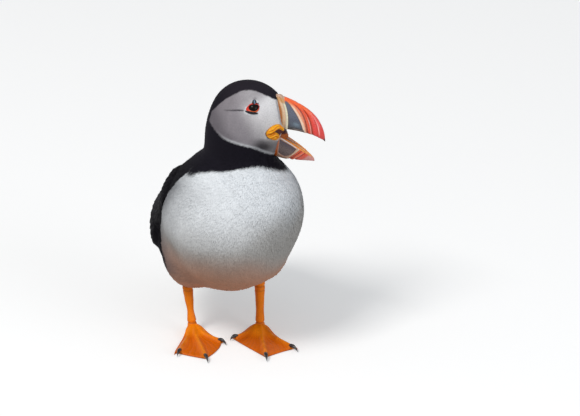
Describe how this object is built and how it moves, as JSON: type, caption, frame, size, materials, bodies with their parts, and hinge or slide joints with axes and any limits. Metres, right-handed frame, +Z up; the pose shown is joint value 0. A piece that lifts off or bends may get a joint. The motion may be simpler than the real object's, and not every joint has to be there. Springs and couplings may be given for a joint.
{
  "type": "atlantic puffin",
  "caption": "Still life-size puffin standing on webbed feet, head turned to its left with the bill open.",
  "frame": {"origin": "on the floor under the middle of the whole bird's box", "axes": "+Z up; the bird's chest faces near -Y, turned 14 degrees towards +X; the bill points near +X, to the bird's left"},
  "size_m": [0.1162, 0.1618, 0.1908],
  "materials": {
    "eye": "dark wet eye with an orange-red rim",
    "face_plumage": "pale grey short face feathers, soft and matt",
    "black_plumage": "soot-black body feathers, matt with a faint sheen",
    "white_plumage": "white breast and belly feathers, soft and matt",
    "flight_feathers": "black wing and tail feathers, slightly glossy",
    "gape_skin": "wrinkled yellow-orange skin",
    "eye_plate": "blue-grey horn, satin",
    "foot_skin": "orange scaled skin, satin",
    "claw": "black horn",
    "bill_horn": "orange-red, slate and pale yellow horn, satin",
    "mouth_lining": "dark maroon moist skin"
  },
  "bodies": {
    "root": {"eye_right": "eye", "eye_left": "eye", "head": "face_plumage", "neck": "black_plumage", "breast": "white_plumage", "back": "black_plumage", "wing_right": "flight_feathers", "gape_right": "gape_skin", "eyeplate_upper_right": "eye_plate", "eyeplate_lower_right": "eye_plate", "tarsus_right": "foot_skin", "foot_right": "foot_skin", "claw_outer_right": "claw", "claw_middle_right": "claw", "claw_inner_right": "claw", "wing_left": "flight_feathers", "gape_left": "gape_skin", "eyeplate_upper_left": "eye_plate", "eyeplate_lower_left": "eye_plate", "tarsus_left": "foot_skin", "foot_left": "foot_skin", "claw_outer_left": "claw", "claw_middle_left": "claw", "claw_inner_left": "claw", "tail": "flight_feathers", "bill_upper": "bill_horn", "bill_lower": "bill_horn", "throat": "mouth_lining"}
  },
  "joints": []
}
